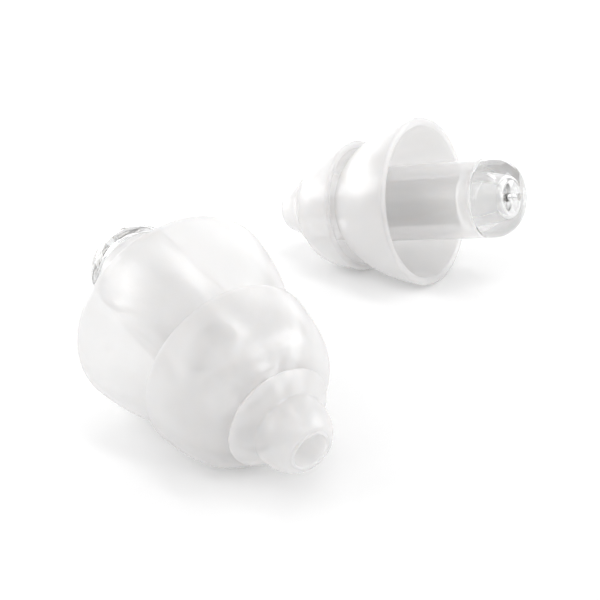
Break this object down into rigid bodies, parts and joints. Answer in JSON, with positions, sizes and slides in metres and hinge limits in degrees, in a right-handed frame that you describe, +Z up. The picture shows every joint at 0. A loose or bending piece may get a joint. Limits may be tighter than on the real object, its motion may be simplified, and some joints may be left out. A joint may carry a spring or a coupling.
{
  "type": "flanged ear plugs with filter inserts",
  "caption": "Pair of soft translucent flanged ear plugs, each with a stem, a bored sound channel and a clear push-in filter insert that pulls out for cleaning.",
  "frame": {"origin": "on the surface the plugs lie on, under the middle of the box round the pair", "axes": "+Z up; the left plug lies in front (-Y) with its nose towards +X and -Y, and the right plug behind (+Y) with its nose towards -X and +Y"},
  "size_m": [0.0292, 0.037, 0.0123],
  "materials": {
    "silicone": "satin",
    "clear_plastic": "gloss",
    "porous_ceramic": "matte",
    "steel_mesh": "satin",
    "white_plastic": "matte"
  },
  "bodies": {
    "left_plug": {"left_eartip": "silicone"},
    "left_filter": {"left_filter_housing": "clear_plastic", "left_ceramic_filter": "porous_ceramic", "left_mesh_screen": "steel_mesh", "left_retaining_ring": "white_plastic"},
    "right_plug": {"right_eartip": "silicone"},
    "right_filter": {"right_filter_housing": "clear_plastic", "right_ceramic_filter": "porous_ceramic", "right_mesh_screen": "steel_mesh", "right_retaining_ring": "white_plastic"}
  },
  "joints": [
    {"name": "left_filter_pull", "type": "slide", "parent": "left_plug", "child": "left_filter", "axis": [-0.5433, 0.8147, 0.2028], "range_m": [0, 0.01]},
    {"name": "right_filter_pull", "type": "slide", "parent": "right_plug", "child": "right_filter", "axis": [0.7872, -0.5825, 0.2028], "range_m": [0, 0.01]},
    {"name": "right_plug_lift", "type": "slide", "parent": "left_plug", "child": "right_plug", "axis": [0, 0, 1], "range_m": [0, 0.04]}
  ]
}
